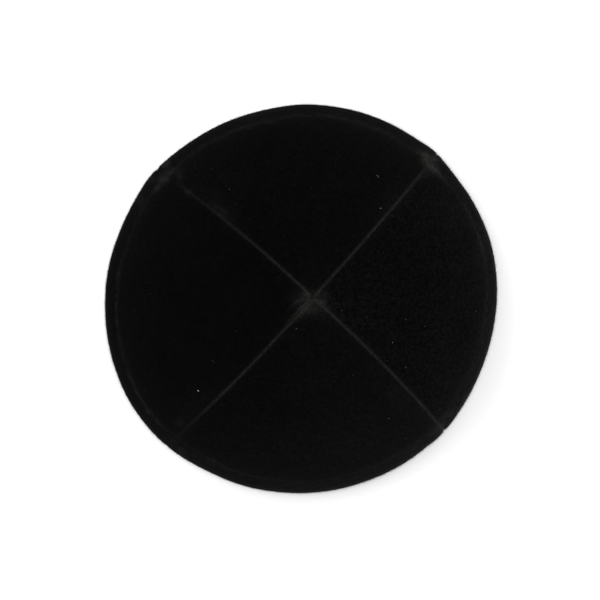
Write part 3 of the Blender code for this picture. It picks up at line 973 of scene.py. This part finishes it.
def noise(tree, vector, row):
    """Noise that runs between this row's values."""
    inputs = {"Vector": vector, "Scale": row.scale, "Detail": row.detail}
    bumps = add_node(tree, "TexNoise", inputs).outputs["Fac"]
    spread = {"Value": bumps, "From Min": 0.3, "From Max": 0.7, "To Min": row.low, "To Max": row.high}
    return add_node(tree, "MapRange", spread).outputs["Result"]


def bump(tree, height, strength, distance):
    inputs = {"Height": height, "Strength": strength, "Distance": distance}
    return add_node(tree, "Bump", inputs).outputs["Normal"]


def pile_colour(tree, body, open_pile):
    """The dark tips of the pile, with its paler sides over them."""
    both = {0: scaled(tree, DARK, body), 1: scaled(tree, PALE, open_pile)}
    return add_node(tree, "VectorMath", both, operation="ADD").outputs[0]


def velvet(tree):
    """Black pile: a soft sheen on steep cloth, and paler where it lies open. Its colour also holds painted
    sheen near the fold and on the open pile.
    """
    place = object_place(tree)
    fine = maths(tree, "MULTIPLY", noise(tree, place, PILE_GRAIN), attribute(tree, "grain"))
    toned = maths(tree, "MULTIPLY", attribute(tree, "tone"), maths(tree, "ADD", fine, 1.0))
    body = maths(tree, "MULTIPLY", toned, noise(tree, place, TUFT_GRAIN))
    open_pile = maths(tree, "MULTIPLY", attribute(tree, "pale"), noise(tree, place, OPEN_GRAIN))
    tufts = {"Vector": place, "Scale": PILE_BUMP_SCALE, "Detail": 2}
    relief = add_node(tree, "TexNoise", tufts).outputs["Fac"]
    return {
        "Base Color": pile_colour(tree, body, open_pile),
        "Roughness": noise(tree, place, PILE_ROUGHNESS),
        "Specular IOR Level": 0.0,
        "Sheen Weight": VELVET_SHEEN,
        "Sheen Roughness": VELVET_SHEEN_ROUGHNESS,
        "Normal": bump(tree, relief, 0.5, 0.25 * MM),
    }


def woven_backing(tree):
    """The plain-woven wrong side of the velvet, inside the cap."""
    place = object_place(tree)
    woven = attribute(tree, "woven", "Vector")
    threads = []
    for direction in ("X", "Y"):
        waves = {"Vector": woven, "Scale": WEAVE_SCALE, "Distortion": 0.6, "Detail": 1}
        kind = {"wave_type": "BANDS", "bands_direction": direction}
        threads.append(add_node(tree, "TexWave", waves, **kind).outputs["Fac"])
    weave = maths(tree, "ADD", maths(tree, "MULTIPLY", threads[0], threads[1]), 0.45)
    slubs = maths(tree, "MULTIPLY", noise(tree, woven, SLUB_GRAIN), noise(tree, place, BACKING_GRAIN))
    return {
        "Base Color": scaled(tree, BACKING, maths(tree, "MULTIPLY", weave, slubs)),
        "Roughness": noise(tree, place, BACKING_ROUGHNESS),
        "Specular IOR Level": 0.15,
        "Normal": bump(tree, weave, 0.6, 0.2 * MM),
    }


def pile_fibre(tree):
    """Single fibres: the colour of the pile round them, each a little lighter or darker."""
    colour = pile_colour(tree, attribute(tree, "tone"), attribute(tree, "pale"))
    return {"Base Color": colour, "Roughness": 0.8, "Specular IOR Level": 0.05}


def thread(tree):
    """Black sewing thread, as light as the pile round it and a little more where it shows."""
    place = object_place(tree)
    ply = {"Vector": place, "Scale": PLY_SCALE, "Distortion": 3, "Detail": 1}
    twist = add_node(tree, "TexWave", ply, bands_direction="DIAGONAL").outputs["Fac"]
    sunk = maths(tree, "MULTIPLY", attribute(tree, "tone"), DARK[0])
    shown = maths(tree, "ADD", maths(tree, "MULTIPLY", attribute(tree, "pale"), STITCH_LIGHT), sunk)
    ply_shade = maths(tree, "MULTIPLY", maths(tree, "ADD", twist, 0.6), noise(tree, place, THREAD_GRAIN))
    body = maths(tree, "MULTIPLY", shown, ply_shade)
    return {
        "Base Color": scaled(tree, THREAD_TINT, body),
        "Roughness": noise(tree, place, THREAD_ROUGHNESS),
        "Specular IOR Level": 0.04,
        "Normal": bump(tree, twist, 0.5, 0.05 * MM),
    }


def lint_fibre(tree):
    """Lint: each fleck as pale as its row says."""
    body = maths(tree, "MULTIPLY", attribute(tree, "pale"), noise(tree, object_place(tree), LINT_GRAIN))
    return {"Base Color": scaled(tree, THREAD_TINT, body), "Roughness": 0.9, "Specular IOR Level": 0.1}


def floor_white(_):
    white = (FLOOR_WHITE, FLOOR_WHITE, FLOOR_WHITE, 1)
    return {"Base Color": white, "Roughness": 0.9, "Specular IOR Level": 0.1}


def stage_floor():
    ends = np.array([(-1, -1, 0), (1, -1, 0), (1, 1, 0), (-1, 1, 0)]) * FLOOR_HALF - (0, 0, FLOOR_DROP)
    floor = new_mesh("floor", ends, [(0, 1, 2, 3)], (new_material(floor_white),))


def lights():
    world = bpy.data.worlds.new("studio")
    bpy.context.scene.world = world
    world.use_nodes = True
    sky = world.node_tree.nodes["Background"]
    set_inputs(world.node_tree, sky, {"Color": (1, 1, 1, 1), "Strength": SKY})
    for row in LAMPS:
        data = bpy.data.lights.new(row.name, "AREA")
        data.shape = "RECTANGLE"
        data.size = row.width
        data.size_y = row.depth
        data.energy = row.watts
        lamp = new_object(row.name, data)
        flat = row.distance * cos(row.elevation)
        lamp.location = (flat * cos(row.azimuth), flat * sin(row.azimuth), row.distance * sin(row.elevation))
        lamp.rotation_euler = (-lamp.location).to_track_quat("-Z", "Y").to_euler()


def camera():
    """Straight above, with the cap where the photograph has it."""
    data = bpy.data.cameras.new("camera")
    data.sensor_width = SENSOR
    data.lens = SENSOR * PIXELS_A_RADIAN / PHOTO_SIZE
    data.clip_start = 0.01
    data.clip_end = 20
    eye = new_object("camera", data)
    eye.location = (EYE[0], EYE[1], CAMERA_HEIGHT)
    bpy.context.scene.camera = eye


def main():
    scene = bpy.context.scene
    scene.view_settings.view_transform = "Standard"
    camera()
    lights()
    stage_floor()
    pile = new_material(velvet)
    backing = new_material(woven_backing)
    fibre = new_material(pile_fibre)
    pieces, cloths = [], []
    for seed, gore in enumerate(GORES):
        cloth = Cloth(gore)
        piece = build_panel(cloth, pile, backing)
        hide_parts(gore.name)
        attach(piece, "root")
        build_fibres(cloth, fibre, seed)
        pieces.append(piece)
        cloths.append(cloth)
    build_stitches(cloths, new_material(thread))
    build_lint(pieces, cloths, new_material(lint_fibre))


main()
